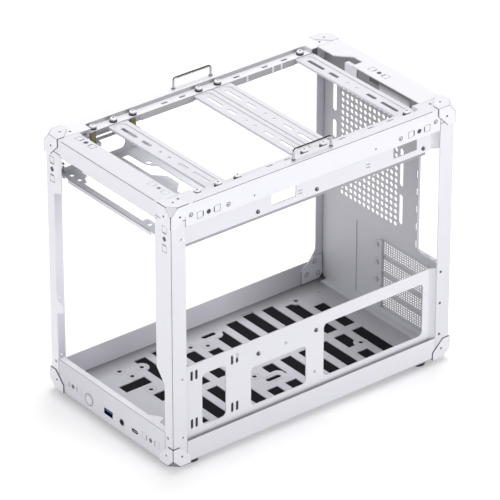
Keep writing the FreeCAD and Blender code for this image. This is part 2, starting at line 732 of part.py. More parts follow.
def psu_bracket():
    ear_top = ledge_under - post_drop
    floor = ear_top - psu_drop
    rear, front = -62.0, -half_d + 1.6
    wall = psu_half
    z = (floor - sheet, floor)
    plate = block((-wall, wall), (front, rear), z)
    rim = wall - 9
    mouth = [(-50, front + 6.5), (45, front + 6.5), (45, front + 13), (64, front + 13), (64, front + 6.5), (rim, front + 6.5),
             (rim, -125), (-rim, -125), (-rim, front + 18.4), (-60, front + 18.4), (-57, front + 13.4), (-49, front + 9.9)]
    zed = [(-rim, -106.0), (-22.0, -105.5), (-11.0, -94.3), (7.0, -94.3), (18.6, -105.5), (rim, -105.5), (rim, -88.5),
           (-33.7, -88.5), (-37.5, -92.5), (-45.0, -96.5), (-rim, -97.5)]
    deep = (z[0] - 1, z[1] + 1)
    holes = [prism("z", mouth, *deep), prism("z", zed, *deep), ngon("z", -44.7, -91.8, 3.2, *deep, 12)]
    for x, y in ((-69.2, front + 7.1), (-57.2, front + 7.6), (55.3, front + 7.6)):
        holes.append(ngon("z", x, y, 2.4, *deep, 12))
    for x, y in ((-1.2, -97.5), (4.6, -103.4)):
        holes.append(ngon("z", x, y, 1.4, *deep, 8))
    plate = without(plate, holes)
    pieces = [plate, block((-66, 66), (front, front + sheet), (floor - 4.6, floor - sheet / 2))]
    for s in (-1, 1):
        xs = (wall - sheet, wall) if s > 0 else (-wall, -wall + sheet)
        side = prism("x", [(front, floor - sheet), (rear, floor - sheet), (rear, floor + 1.0), (-71.5, floor + 3.0), (-76.0, ear_top),
                           (-140.0, ear_top), (-140.0, floor + 5), (front, floor + 5)], xs[0], xs[1])
        span = (wall - sheet, wall + psu_ear) if s > 0 else (-wall - psu_ear, -wall + sheet)
        ear = block(span, (-140.0, -76.0), (ear_top - sheet, ear_top))
        reach = (wall - 2, wall + 5.2) if s > 0 else (-wall - 5.2, -wall + 2)
        low = [(-136.0, floor + 4.0), (-95.0, floor + 4.0), (-95.0, ear_top - 4.0), (-136.0, ear_top - 4.0)]
        window = [prism("x", low, *reach, [1.0, 5.0, 0, 1.0]), block(reach, (-124.0, -95.0), (ear_top - 5.0, ear_top + 1))]
        pieces.append(without(joined([side, ear]), window))
    return joined(pieces)


# Rear panel, slot plate, slot covers and the parts that hold them

left_slots = ((174.0, 194.6), (204.5, 237.0))
left_slot_x = (-half_w + 15.25, -half_w + 21.65)
right_slots = ((118.5, 152.4), (162.0, 205.0))
right_slot_x = (aperture_left - 28.0, aperture_left - 22.5)
vent_columns = 1 + int((right_slot_x[0] - 5.7 - vent_left) / vent_pitch)
panel_y = (half_d - 2 * sheet, half_d - sheet)
plate_y = (half_d - sheet, half_d)
cover_y = (plate_y[0] - cover_thick, plate_y[0])
plate_left = cover_left - 41.5
plate_right = cover_right + 10.0
plate_top = 92.4
slot_screw = 4.5
channel_left = -36.4
channel_right = half_w - 36.25
channel_low = 276.0
rim_proud = 0.8
slot_centres = tuple(slot_first - slot_pitch * i for i in range(4))


def rear_panel():
    side = inner_w - bend
    high = up(panel_high)
    under = top - sheet
    sheet_back = block((-side, side), panel_y, (floor_top, high))
    foot = block((-side + 8, side - 8), (panel_y[0] - 9.0, panel_y[1]), (floor_top, floor_top + sheet))
    channel = (channel_left, channel_right)
    roof = block(channel, (rear_edge, panel_y[1]), (under - sheet, under))
    riser = block(channel, panel_y, (high - 1, under))
    nose = block(channel, (rear_edge, rear_edge + sheet), (up(channel_low), under))
    solid = joined([sheet_back, foot, roof, riser, nose])
    y = (panel_y[0] - 1, panel_y[1] + 1)
    cuts = []
    for i in range(vent_columns):
        for k in range(vent_rows):
            x, z = vent_left + i * vent_pitch, up(vent_low + k * vent_pitch)
            cuts.append(ngon("y", x, z, vent_radius, y[0], y[1], 6, math.pi / 6))
    for z0, z1 in left_slots:
        cuts.append(stadium("y", left_slot_x, (up(z0), up(z1)), y[0], y[1]))
    for z0, z1 in right_slots:
        cuts.append(stadium("y", right_slot_x, (up(z0), up(z1)), y[0], y[1]))
    aperture = (aperture_left, aperture_left + aperture_wide)
    cuts.append(block(aperture, y, (up(aperture_low), up(aperture_low + aperture_high))))
    for i in range(5):
        z = up(aperture_low) + 4.5 + 20.0 * i
        cuts.append(block((aperture_left - 2.2, aperture_left), y, (z, z + 8.5)))
    cuts.append(block((plate_left + 3, plate_right - 3), y, (up(slot_centres[3] - 9.6), up(plate_top + 0.9))))
    nose_y = (rear_edge - 1, rear_edge + sheet)
    cuts.append(block((-17.5, 17.7), nose_y, (up(channel_low) - 1, under - sheet)))
    roof_z = (under - sheet - 0.01, under + 1)
    cuts.append(block((channel_left - 1, notch_right + 5), (rear_edge + 5, notch_line + 2), roof_z))
    clip_x = (rear_clip_x - clip_half - fit_gap, rear_clip_x + clip_half + fit_gap)
    clip_y = (rear_clip_y - clip_wide / 2 - fit_gap, rear_clip_y + clip_wide / 2 + fit_gap)
    cuts.append(block(clip_x, clip_y, roof_z))
    rim_z = (up(plate_top + 8.9), up(aperture_low + aperture_high) + 0.5)
    rim = block((aperture_left, aperture_left + rim_proud), (panel_y[0], half_d + rim_proud), rim_z)
    return joined([without(solid, cuts + corner_reliefs(False)), rim])


def slot_plate():
    low, high = floor_top, up(plate_top)
    ring = [(plate_left, low + 6), (plate_left + 15, low), (plate_right, low), (plate_right, high), (plate_left, high)]
    solid = prism("y", ring, plate_y[0], plate_y[1], [3.0, 3.0, 0, 0, 0])
    cuts = []
    for z in slot_centres:
        cuts.append(block((cover_left + 3, cover_right - 4), (plate_y[0] - 1, plate_y[1] + 1),
                          (up(z - slot_open_high / 2), up(z + slot_open_high / 2))))
        cuts.append(ngon("y", cover_left - slot_screw, up(z), 1.4, plate_y[0] - 1, plate_y[1] + 1, 6))
    return without(solid, cuts + corner_reliefs(False))


cover_rows = 5
cover_columns = 22
cover_tongue = 11.3


def slot_cover(z):
    half = cover_high / 2
    tip = cover_left - cover_tongue
    ring = [(tip, z), (tip + 4.3, z - 5.0), (cover_left, z - 5.0), (cover_left, z - half), (cover_right, z - half),
            (cover_right, z + half), (cover_left, z + half), (cover_left, z + 5.0), (tip + 4.3, z + 5.0)]
    solid = prism("y", ring, cover_y[0], cover_y[1])
    y = (cover_y[0] - 1, cover_y[1] + 1)
    cuts = [ngon("y", cover_left - slot_screw, z, 1.7, y[0], y[1], 6)]
    first, last = cover_left + 7.0, cover_right - 9.0
    step = (last - first) / (cover_columns - 1)
    for i in range(cover_columns):
        for k in range(cover_rows):
            x = first + i * step
            h = z + (k - (cover_rows - 1) / 2) * 2.75
            cuts.append(block((x - 1.25, x + 1.25), y, (h - 0.875, h + 0.875)))
    return without(solid, cuts)


def slot_parts():
    screws = []
    for z in slot_centres:
        x = cover_left - slot_screw
        head = ngon("y", x, up(z), 2.7, cover_y[0] - 2.0, cover_y[0], 10)
        shank = ngon("y", x, up(z), 1.1, cover_y[0], plate_y[1] - 0.2, 6)
        screws.append(joined([head, shank]))
    nodes["slot_cover_screws"] = Part.makeCompound(screws)
    strip = (cover_left + 1.8, cover_left + 4.8)
    tall = (up(slot_centres[3] - cover_high / 2), up(slot_centres[0] + cover_high / 2))
    nodes["slot_cover_clamp"] = block(strip, (cover_y[0] - 3.0, cover_y[0]), tall)
    bar = (aperture_left - 2.0, aperture_left + 33.0)
    ring = [(bar[0], up(93.4)), (bar[1], up(93.4)), (bar[1], up(101)), (bar[0], up(101))]
    edge = prism("y", ring, half_d - sheet, half_d + 0.5, [2.5] * 4)
    cuts = []
    for a in (3.0, 19.0):
        wide = (aperture_left + a, aperture_left + a + 9.0)
        cuts.append(stadium("y", wide, (up(98.4), up(100.2)), half_d - 2, half_d + 1))
    nodes["aperture_bar"] = without(edge, cuts)


# Motherboard rail, lower plate and stand-offs

board_x = half_w - board_inset
board_windows_high = ((-50.0, -20.0), (102.0, 132.0))
board_windows_low = (((-135.8, -106.8), (33.0, 90.8)), ((-75.8, -6.9), (32.0, 75.6)), ((15.4, 143.3), (31.6, 91.8)))
board_slots = (-148.5, -142.8, -99.0, -93.0)
board_columns = (-66.9, -66.9 + 72.39)
board_rows = (88.7, 88.7 + 157.48)
board_front = -half_d + 10.0
board_back = half_d - 25.0


def rear_turn(low, high):
    # end of a board sheet, bent outward to the inside of the rear pillar
    path = [(board_x, board_back - 3.0), (board_x, board_back), (inner_w, half_d - 17.5), (inner_w, half_d - 9.0)]
    return fold("z", path, low, high, sheet, 2.0)


def motherboard_top_rail():
    low, high = up(board_rail_low + 5.0), ledge_under
    x = board_x
    path = [(x - board_lip_in, low - board_lip_down), (x - board_lip_in, low), (x, low), (x, high), (inner_w, high)]
    solid = fold("y", path, board_front, board_back - 2.0)
    turn = rear_turn(low + 2.0, high - 2.0)
    solid = joined([solid, turn])
    cuts = []
    for a, b in board_windows_high:
        cuts.append(block((x - 2, x + 1), (a, b), (low + 7.0, low + 22.0)))
    for y in board_columns:
        cuts.append(ngon("x", y, up(board_rows[1]), 1.6, x - 2, x + 1, 8))
    for sy in (-1, 1):
        cuts.append(block((x + 0.01, half_w), (sy * flange_clip_y - 14, sy * flange_clip_y + 14), (high - 2.0, high - 1.2)))
    cuts.append(block((x - 0.5, half_w), (board_front - 1, rail_front), (high - 2.0, high + 1)))
    return without(solid, cuts[:-2] + cuts[-1:])


def motherboard_plate():
    x = board_x
    low, high = up(plate_low), up(plate_high)
    path = [(half_w - 0.4, low), (x, low), (x, high)]
    front_part = fold("y", path[::-1], rail_front, rail_back - 6, sheet, 2.0)
    lead = block((x - sheet, x), (board_front, rail_front + 1), (low + 4.0, high))
    turn = rear_turn(low + 4.0, high)
    solid = joined([front_part, lead, turn])
    cuts = []
    for (a, b), (z0, z1) in board_windows_low:
        ring = [(a, up(z0)), (b, up(z0)), (b, up(z1)), (a, up(z1))]
        cuts.append(prism("x", ring, x - 3, x + 2, 5.0))
    for y in board_slots:
        for z0 in (plate_low + 13.0, plate_high - 18.0):
            cuts.append(stadium("x", (y - 1.55, y + 1.55), (up(z0), up(z0 + 10.8)), x - 3, x + 2))
    for y in board_columns:
        cuts.append(ngon("x", y, up(board_rows[0]), 1.6, x - 3, x + 2, 8))
    return without(solid, cuts)


def standoffs():
    pieces = []
    x = board_x - sheet
    for y in board_columns:
        for z in (up(board_rows[1]), up(board_rows[0])):
            nut = ngon("x", y, z, 2.9, x - 6.5, x, 6)
            stud = ngon("x", y, z, 1.3, x, x + sheet + 0.8, 8)
            bore = rod("x", y, z, 1.5, x - 7.5, x - 0.5)
            pieces.append(without(joined([nut, stud]), [bore]))
    return Part.makeCompound(pieces)


# Handles, gusset, feet and clips

def handle(side):
    x = side * (half_w - handle_inset)
    z0, z1 = top, top + handle_rise
    r = handle_bend
    k = r * (1 - math.sqrt(0.5))
    h = handle_half
    pts = [vec(x, -h, z0), vec(x, -h, z1 - r), vec(x, -h + r, z1), vec(x, h - r, z1), vec(x, h, z1 - r), vec(x, h, z0)]
    edges = [
        Part.makeLine(pts[0], pts[1]),
        Part.Arc(pts[1], vec(x, -h + k, z1 - k), pts[2]).toShape(),
        Part.makeLine(pts[2], pts[3]),
        Part.Arc(pts[3], vec(x, h - k, z1 - k), pts[4]).toShape(),
        Part.makeLine(pts[4], pts[5]),
    ]
    section = Part.Wire(Part.makeCircle(handle_wire, pts[0], vec(0, 0, 1)))
    wire = Part.Wire(edges).makePipeShell([section], True, False)
    collars = [ngon("z", x, s * h, 2.1, top, top + 1.4, 12) for s in (-1, 1)]
    bores = [ngon("z", x, s * h, 1.0, top - 1, top + 4, 6) for s in (-1, 1)]
    return without(joined([wire] + collars), bores)


def handle_screws():
    pieces = []
    for sx in (-1, 1):
        for sy in (-1, 1):
            x, y = sx * (half_w - handle_inset), sy * handle_half
            head = ngon("z", x, y, 2.6, top - sheet - 1.8, top - sheet, 10)
            shank = ngon("z", x, y, 0.8, top - sheet, top + 3, 6)
            pieces.append(joined([head, shank]))
    return Part.makeCompound(pieces)


gusset_thick = 1.5
gusset_screws_at = ((12.8, 24.2), (23.9, 11.4), (8.1, 8.5))
gusset_ring = ((15.1, 31.0), (3.0, 31.0), (3.0, 7.5), (7.3, 2.4), (29.0, 2.3), (31.0, 3.5), (31.1, 18.0), (25.4, 22.7))


def gusset():
    ring = [(half_d - back, up(z)) for back, z in gusset_ring]
    return prism("x", ring, -inner_w, -inner_w + gusset_thick)


def gusset_screws():
    pieces = []
    for back, z in gusset_screws_at:
        x = -inner_w + gusset_thick
        pieces.append(ngon("x", half_d - back, up(z), 2.4, x, x + 1.4, 10))
    return Part.makeCompound(pieces)


def foot(sx, sy):
    x, y = sx * (half_w - foot_inset_x), sy * (half_d - foot_inset_y)
    base = Part.makeCone(foot_radius - 0.8, foot_radius, foot_height * 0.8, vec(x, y, 0))
    ring = rod("z", x, y, foot_radius - 1.2, foot_height * 0.8, floor_low)
    return joined([base, ring])


def clip(axis, a, b, low, high, tall):
    da, db = (clip_wide / 2, clip_half) if tall else (clip_half, clip_wide / 2)
    body = prism(axis, [(a - da, b - db), (a + da, b - db), (a + da, b + db), (a - da, b + db)], low, high)
    return without(body, [ngon(axis, a, b, clip_hole - 0.6, low - 1, high + 1, 8)])


def panel_clips():
    pieces = []
    for s in (-1, 1):
        pieces.append(clip("z", s * end_clip_x, -end_clip_y, top - sheet - clip_deep, top - sheet, False))
        pieces.append(clip("y", s * panel_clip_x, up(panel_clip_z), -inner_d, -inner_d + clip_deep, False))
        span = sorted((s * inner_w, s * (inner_w - clip_deep)))
        for sy in (-1, 1):
            pieces.append(clip("x", sy * flange_clip_y, top - flange_clip_drop, span[0], span[1], False))
    for x, z in (pillar_clip_right, pillar_clip_left):
        pieces.append(clip("y", x, up(z), -inner_d, -inner_d + clip_deep, True))
    pieces.append(clip("z", rear_clip_x, rear_clip_y, top - sheet - clip_deep, top - sheet, False))
    return Part.makeCompound(pieces)


# Every named piece

def build():
    nodes["bottom_tray"] = bottom_tray()
    nodes["dust_filter"] = dust_filter()
    nodes["front_panel"] = front_panel()
    nodes["power_button"] = power_button()
    nodes["power_button_housing"] = power_button_housing()
    nodes["power_switch"] = power_switch()
    board_ports()
    nodes["front_left_pillar"] = front_pillar(-1)
    nodes["front_right_pillar"] = front_pillar(1)
    nodes["rear_left_pillar"] = rear_pillar(-1)
    nodes["rear_right_pillar"] = rear_pillar(1)
    nodes["top_left_rail"] = side_rail(-1)
    nodes["top_right_rail"] = side_rail(1)
    nodes["top_front_rail"] = top_front()
    nodes["top_rear_rail"] = top_rear()
    for upper, level in ((False, "bottom"), (True, "top")):
        for sy, end in ((-1, "front"), (1, "rear")):
            for sx, side in ((-1, "left"), (1, "right")):
                nodes["cap_%s_%s_%s" % (level, end, side)] = corner_cap(sx, sy, upper)
    for name, line in zip(("front", "mid_front", "mid_rear", "rear"), fan_lines):
        nodes["fan_bracket_" + name] = fan_bracket(line)
    bracket_fasteners()
    nodes["psu_bracket"] = psu_bracket()
    nodes["rear_panel"] = rear_panel()
    nodes["slot_plate"] = slot_plate()
    for i, z in enumerate(slot_centres):
        nodes["slot_cover_%d" % (i + 1)] = slot_cover(up(z))
    slot_parts()
    nodes["motherboard_top_rail"] = motherboard_top_rail()
    nodes["motherboard_plate"] = motherboard_plate()
    nodes["motherboard_standoffs"] = standoffs()
    nodes["left_handle"] = handle(-1)
    nodes["right_handle"] = handle(1)
    nodes["handle_screws"] = handle_screws()
    nodes["corner_gusset"] = gusset()
    nodes["gusset_screws"] = gusset_screws()
    nodes["panel_clips"] = panel_clips()
    for sy, end in ((-1, "front"), (1, "rear")):
        for sx, side in ((-1, "left"), (1, "right")):
            nodes["foot_%s_%s" % (end, side)] = foot(sx, sy)


build()
os.makedirs("parts", exist_ok=True)
for name, shape in nodes.items():
    shape.exportStep("parts/%s.step" % name)
    print(name, len(shape.Solids), shape.isValid(), round(shape.Volume, 1))
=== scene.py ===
import json
import math

import bmesh
import bpy
from mathutils import Matrix, Vector


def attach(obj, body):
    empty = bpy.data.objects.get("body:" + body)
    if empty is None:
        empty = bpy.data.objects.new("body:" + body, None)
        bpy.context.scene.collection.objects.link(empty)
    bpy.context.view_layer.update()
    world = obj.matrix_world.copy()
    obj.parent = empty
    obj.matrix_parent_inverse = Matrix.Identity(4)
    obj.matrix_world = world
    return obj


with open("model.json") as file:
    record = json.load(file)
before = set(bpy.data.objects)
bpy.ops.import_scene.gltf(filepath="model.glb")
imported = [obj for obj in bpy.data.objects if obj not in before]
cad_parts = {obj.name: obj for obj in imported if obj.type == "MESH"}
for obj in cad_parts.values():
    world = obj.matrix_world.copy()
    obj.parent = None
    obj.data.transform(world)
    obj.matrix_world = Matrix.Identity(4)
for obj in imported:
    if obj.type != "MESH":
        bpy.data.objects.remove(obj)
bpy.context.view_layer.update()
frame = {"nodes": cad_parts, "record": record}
nodes = frame["nodes"]
print("frame loaded", len(nodes))


# Surfaces: a fine grain, with painted light and shade along an axis or by the way a face points

def span(start, end, low, high):
    return {"from": start, "to": end, "low": low, "high": high}


# painted light and shade that changes along an axis
def along(axis, start, end, low, high):  # from one millimetre mark to another
    return {"by": "Object", "axis": axis, **span(start / 1000, end / 1000, low, high)}


# painted light and shade by the way a face points
def facing(axis, start, end, low, high):  # by one part of the face's normal
    return {"by": "Normal", "axis": axis, **span(start, end, low, high)}


def blendValue(tree, source, spec):
    node = tree.nodes.new("ShaderNodeMapRange")
    node.inputs["From Min"].default_value = spec["from"]
    node.inputs["From Max"].default_value = spec["to"]
    node.inputs["To Min"].default_value = spec["low"]
    node.inputs["To Max"].default_value = spec["high"]
    tree.links.new(source, node.inputs["Value"])
    return node.outputs["Result"]


def combined(tree, operation, first, second):
    node = tree.nodes.new("ShaderNodeMath")
    node.operation = operation
    tree.links.new(first, node.inputs[0])
    tree.links.new(second, node.inputs[1])
    return node.outputs[0]


def vectorStep(tree, operation, first, second=None):
    node = tree.nodes.new("ShaderNodeVectorMath")
    node.operation = operation
    for i, value in enumerate((first, second)):
        if value is None:
            continue
        if isinstance(value, tuple):
            node.inputs[i].default_value = value
        else:
            tree.links.new(value, node.inputs[i])
    return node.outputs["Vector"]


def axisParts(tree, vector):
    node = tree.nodes.new("ShaderNodeSeparateXYZ")
    tree.links.new(vector, node.inputs["Vector"])
    return node.outputs


capFades = {"line": 0.0001, "facet": (0.00003, 0.00006)}  # in metres


# painted shade: dark lines along a corner cap's edges and a darker facet on its cut corner
def capShadeMasks(tree, place, spec):  # dark edges and cut corner of a corner cap
    cut, wide, line, fade = spec["cut"], spec["wide"], spec["line"], capFades["line"]
    centred = vectorStep(tree, "SUBTRACT", place, (0.0, 0.0, spec["middle"]))
    folded = vectorStep(tree, "ABSOLUTE", centred)
    inward = axisParts(tree, vectorStep(tree, "SUBTRACT", spec["planes"], folded))
    near = {axis: blendValue(tree, inward[axis], span(wide, wide + fade, 1.0, 0.0)) for axis in "XYZ"}
    masks = []
    for a, b in ("XY", "YZ", "XZ"):
        pair = combined(tree, "MULTIPLY", near[a], near[b])
        masks.append(blendValue(tree, pair, span(0.0, 1.0, 1.0, line)))
    total = combined(tree, "ADD", combined(tree, "ADD", inward["X"], inward["Y"]), inward["Z"])
    masks.append(blendValue(tree, total, span(cut + wide, cut + wide + fade, line, 1.0)))
    start, end = [cut + depth for depth in capFades["facet"]]
    masks.append(blendValue(tree, total, span(start, end, spec["facet"] / line, 1.0)))
    return masks


def surface(name, spec):
    mat = bpy.data.materials.new(name)
    mat.use_nodes = True
    tree = mat.node_tree
    shader = tree.nodes["Principled BSDF"]
    shader.inputs["Metallic"].default_value = spec.get("metal", 0.0)
    shader.inputs["Roughness"].default_value = spec["rough"]
    shader.inputs["Specular IOR Level"].default_value = spec.get("gloss", 0.4)
    place = tree.nodes.new("ShaderNodeTexCoord")
    grain = tree.nodes.new("ShaderNodeTexNoise")
    grain.inputs["Scale"].default_value = 900.0
    grain.inputs["Detail"].default_value = 2.0
    tree.links.new(place.outputs["Object"], grain.inputs["Vector"])
    ramp = tree.nodes.new("ShaderNodeValToRGB")
    spread = spec.get("spread", 0.02)
    for stop, position, factor in zip(ramp.color_ramp.elements, (0.3, 0.7), (1 - spread, 1 + spread)):
        stop.position = position
        stop.color = [min(1.0, c * factor) for c in spec["color"]] + [1.0]
    tree.links.new(grain.outputs["Fac"], ramp.inputs["Fac"])
    color = ramp.outputs["Color"]
    masks = []
    for mask in spec.get("masks", ()):
        part = axisParts(tree, place.outputs[mask["by"]])[mask["axis"]]
        masks.append(blendValue(tree, part, mask))
    if "edges" in spec:
        masks += capShadeMasks(tree, place.outputs["Object"], spec["edges"])
    if masks:
        level = masks[0]
        for other in masks[1:]:
            level = combined(tree, "MULTIPLY", level, other)
        scale = tree.nodes.new("ShaderNodeVectorMath")
        scale.operation = "SCALE"
        tree.links.new(color, scale.inputs[0])
        tree.links.new(level, scale.inputs["Scale"])
        color = scale.outputs["Vector"]
    tree.links.new(color, shader.inputs["Base Color"])
    bump = tree.nodes.new("ShaderNodeBump")
    bump.inputs["Strength"].default_value = spec.get("bump", 0.05)
    bump.inputs["Distance"].default_value = 0.0002
    tree.links.new(grain.outputs["Fac"], bump.inputs["Height"])
    if spec.get("soften", 0.0) > 0:
        soft = tree.nodes.new("ShaderNodeBevel")
        soft.inputs["Radius"].default_value = spec["soften"]
        tree.links.new(soft.outputs["Normal"], bump.inputs["Normal"])
    tree.links.new(bump.outputs["Normal"], shader.inputs["Normal"])
    return mat


def coat(color, *masks, **changes):
    return {"color": color, "rough": 0.42, "spread": 0.01, "soften": 0.0005, "masks": masks, **changes}


white = (0.80, 0.795, 0.855)
# darker copy of the white coat for the fan brackets and the board rail: painted shade
shadedWhite = (0.75, 0.745, 0.80)
tones = {
    # white coat darker towards the bottom and on faces that point right, lighter on faces that point to the
    # front: painted shade and light
    "coat": coat(white, along("Z", 10.0, 270.0, 0.86, 1.0), facing("X", 0.3, 0.9, 1.0, 0.95),
                 facing("Y", -0.9, -0.3, 1.2, 1.0)),
    # lighter copy of the white coat for the top rear rail: painted light
    "coatBright": coat((0.82, 0.815, 0.86)),
    # front panel lighter towards the right and much lighter on faces that point up: painted light
    "coatPanel": coat(white, along("X", -90.0, 70.0, 0.88, 0.98), facing("Z", 0.5, 0.9, 1.0, 1.3)),
    # darker copy of the white coat for the tray edge, darker towards the front: painted shade
    "coatWall": coat(white, along("Y", -150.0, 150.0, 0.80, 0.88), soften=0.0),
    "coatRack": coat(shadedWhite),
    # top rails lighter on faces that point to the front and a little darker on faces that point up: painted
    # light and shade
    "coatTop": coat(white, facing("Y", -0.9, -0.3, 1.15, 1.0), facing("Z", 0.5, 0.9, 1.0, 0.96)),
    # tray lit at the left wall's top, a dark strip of painted shadow along the left wall, lighter towards the
    # middle, darker towards the rear and at the right wall: painted light and shade
    "coatTray": coat(white, along("X", -99.3, -98.2, 3.4, 1.0), along("X", -98.0, -74.0, 0.27, 0.80),
                     along("X", -80.0, -20.0, 1.0, 1.1), along("Y", 40.0, 160.0, 1.0, 0.64),
                     along("X", 99.0, 100.0, 1.0, 0.88), rough=0.5),
    # grey copy of the white coat for the rear panel and slot plate, darker towards the top and under the top
    # rail: painted shade
    "coatRear": coat((0.60, 0.60, 0.64), along("Z", 110.0, 225.0, 1.07, 0.80),
                     along("Z", 232.0, 262.0, 1.0, 0.60), rough=0.45),
    # board rail with a dark band of painted shade in the recess along its bottom, darker at its rear turn:
    # painted shade
    "coatBoard": coat(shadedWhite, along("Z", 244.3, 245.3, 0.46, 1.0), along("Y", 149.0, 164.0, 1.0, 0.55)),
    # lower plate darker at its bottom bend, at its rear turn and slightly towards the front: painted shade
    "coatPlate": coat(white, along("Z", 29.8, 32.4, 0.72, 1.0), along("Y", 149.0, 164.0, 1.0, 0.72),
                      along("Y", -150.0, 110.0, 0.85, 0.91)),
    # grey copies of the white coat for the slot covers and the gusset inside the case: painted shade
    "coatCover": coat((0.62, 0.62, 0.655), rough=0.45, soften=0.0),
    "coatGusset": coat((0.64, 0.64, 0.68), rough=0.45, soften=0.0003),
    # grey copy of the white coat for the hanging bracket, a little darker on faces that point to the front
    # and lighter towards the right: painted shade and light
    "coatBracket": coat((0.54, 0.54, 0.575), facing("Y", -0.9, -0.3, 0.95, 1.0),
                        along("X", -72.0, 50.0, 1.0, 1.75), rough=0.45, soften=0.0004),
    # front left pillar lighter on faces that point right and to the front: painted light
    "coatLitPillar": coat(white, facing("X", 0.3, 0.9, 1.0, 1.12), facing("Y", -0.9, -0.3, 1.14, 1.0)),
    # rear left pillar darker on faces that point right, into the case: painted shade
    "coatLeft": coat(white, facing("X", 0.3, 0.9, 1.0, 0.78)),
    # top left rail a lighter copy, much darker on faces that point right, into the case: painted light and
    # shade
    "coatInner": coat((0.88, 0.875, 0.92), facing("X", 0.3, 0.9, 1.0, 0.47)),
    "coatShade": coat((0.16, 0.16, 0.175), rough=0.6, soften=0.0),
    "slotShade": coat((0.70, 0.70, 0.74), facing("X", 0.3, 0.9, 1.0, 0.1), rough=0.5, soften=0.0),
    # rear channel face lighter at the bottom and dark at the top under the rail: painted shade
    "channelFace": coat((0.44, 0.44, 0.46), along("Z", 281.5, 290.0, 1.9, 0.22), rough=0.5, soften=0.0),
    # chrome darker on faces that point up: painted reflection
    "chrome": {"color": (0.52, 0.52, 0.53), "rough": 0.14, "metal": 1.0, "bump": 0.0,
               "masks": [facing("Z", 0.25, 0.75, 1.0, 0.08)]},
    "brass": {"color": (0.20, 0.18, 0.08), "rough": 0.45, "metal": 0.6},
    "rubber": {"color": (0.03, 0.03, 0.032), "rough": 0.7},
    "mesh": {"color": (0.010, 0.010, 0.014), "rough": 0.85, "gloss": 0.15},
    "clip": {"color": (0.62, 0.62, 0.66), "rough": 0.5},
    "button": {"color": white, "rough": 0.4},
    "dark": {"color": (0.02, 0.02, 0.024), "rough": 0.5},
    "board": {"color": (0.03, 0.035, 0.03), "rough": 0.6},
    "port": {"color": (0.006, 0.006, 0.008), "rough": 0.6, "gloss": 0.1},
    "portSteel": {"color": (0.62, 0.62, 0.64), "rough": 0.35},
    "screw": {"color": (0.62, 0.62, 0.65), "rough": 0.35, "metal": 0.3},
    "screwWhite": {"color": (0.86, 0.86, 0.88), "rough": 0.35},
    "tongue": {"color": (0.02, 0.12, 0.42), "rough": 0.4},
    "line": {"color": (0.07, 0.07, 0.08), "rough": 0.7},
    "edgeLine": {"color": (0.17, 0.17, 0.185), "rough": 0.7},
    "rimLine": {"color": (0.60, 0.60, 0.63), "rough": 0.6},
    "softLine": {"color": (0.30, 0.30, 0.33), "rough": 0.7},
    # dark tone of painted shade in the bend of the lower plate
    "grooveShade": {"color": (0.30, 0.30, 0.32), "rough": 0.7},
    "paleLine": {"color": (0.55, 0.55, 0.58), "rough": 0.7},
}
capEdges = {"planes": (0.10125, 0.176, 0.14375), "middle": 0.14875, "cut": 0.0089}  # in metres


# corner caps with painted shade on their edge lines, side walls, cut-corner facets and on the lower caps'
# faces that point up, and painted light on faces that point to the front
def capTone(upper, sx, sy):
    near = sx > 0 and sy < 0
    farthest = upper and sx < 0 and sy > 0
    line = 0.16 if near else 0.9 if farthest else 0.35 if upper else 0.6
    edges = {**capEdges, "wide": 0.0006 if near else 0.0004, "line": line, "facet": 0.9 if upper else 0.28}
    walls = 0.85 if near or farthest else 0.25
    masks = []
    for axis, side in (("X", sx), ("Y", sy)):
        inner = (0.3, 0.4, 1.0, walls) if side < 0 else (-0.4, -0.3, walls, 1.0)
        masks.append(facing(axis, *inner))
    masks.append(facing("Y", -0.9, -0.7, 1.2, 1.0))
    if not upper:
        masks.append(facing("Z", 0.85, 0.95, 1.0, 0.25))
    # lower caps in a darker copy of the white coat: painted shade
    color = white if upper else tuple(0.88 * c for c in white)
    return coat(color, *masks, edges=edges, soften=0.0)


for level, upper in (("bottom", False), ("top", True)):
    for end, sy in (("front", -1), ("rear", 1)):
        for side, sx in (("left", -1), ("right", 1)):
            tones["cap_%s_%s_%s" % (level, end, side)] = capTone(upper, sx, sy)
mats = {name: surface(name, spec) for name, spec in tones.items()}

bySlot = {
    "white_coat": "coat",
    "chrome_wire": "chrome",
    "brass_post": "brass",
    "rubber_black": "rubber",
    "filter_mesh": "mesh",
    "clip_plastic": "clip",
    "button_plastic": "button",
    "dark_plastic": "dark",
    "board_plastic": "board",
    "port_steel": "port",
    "screw_steel": "screw",
}
# the white-coated parts get their lit and shaded copies of the white coat
byNode = {
    "bottom_tray": "coatTray",
    "rear_panel": "coatRear",
    "slot_plate": "coatRear",
    "slot_cover_clamp": "coatCover",
    "corner_gusset": "coatGusset",
    "psu_bracket": "coatBracket",
    "rear_left_pillar": "coatLeft",
    "top_left_rail": "coatInner",
    "top_right_rail": "coatTop",
    "top_front_rail": "coatTop",
    "top_rear_rail": "coatBright",
    "front_panel": "coatPanel",
    "motherboard_top_rail": "coatBoard",
    "motherboard_plate": "coatPlate",
    "front_left_pillar": "coatLitPillar",
    "bracket_screws": "screwWhite",
}
byNode.update({"slot_cover_%d" % i: "coatCover" for i in (1, 2, 3, 4)})
byNode.update({"fan_bracket_" + end: "coatRack" for end in ("front", "mid_front", "mid_rear", "rear")})
slots = {row["node"]: row["material_slot"] for row in frame["record"]["subparts"]}
for name, piece in nodes.items():
    piece.data.materials.clear()
    tone = name if name in tones else byNode.get(name, bySlot[slots[name]])
    piece.data.materials.append(mats[tone])
print("surfaces given")


# Small shapes, their sizes in millimetres

turns = {
    "x": Matrix.Rotation(math.pi / 2, 4, "Y"),
    "y": Matrix.Rotation(-math.pi / 2, 4, "X"),
    "z": Matrix.Identity(4),
}


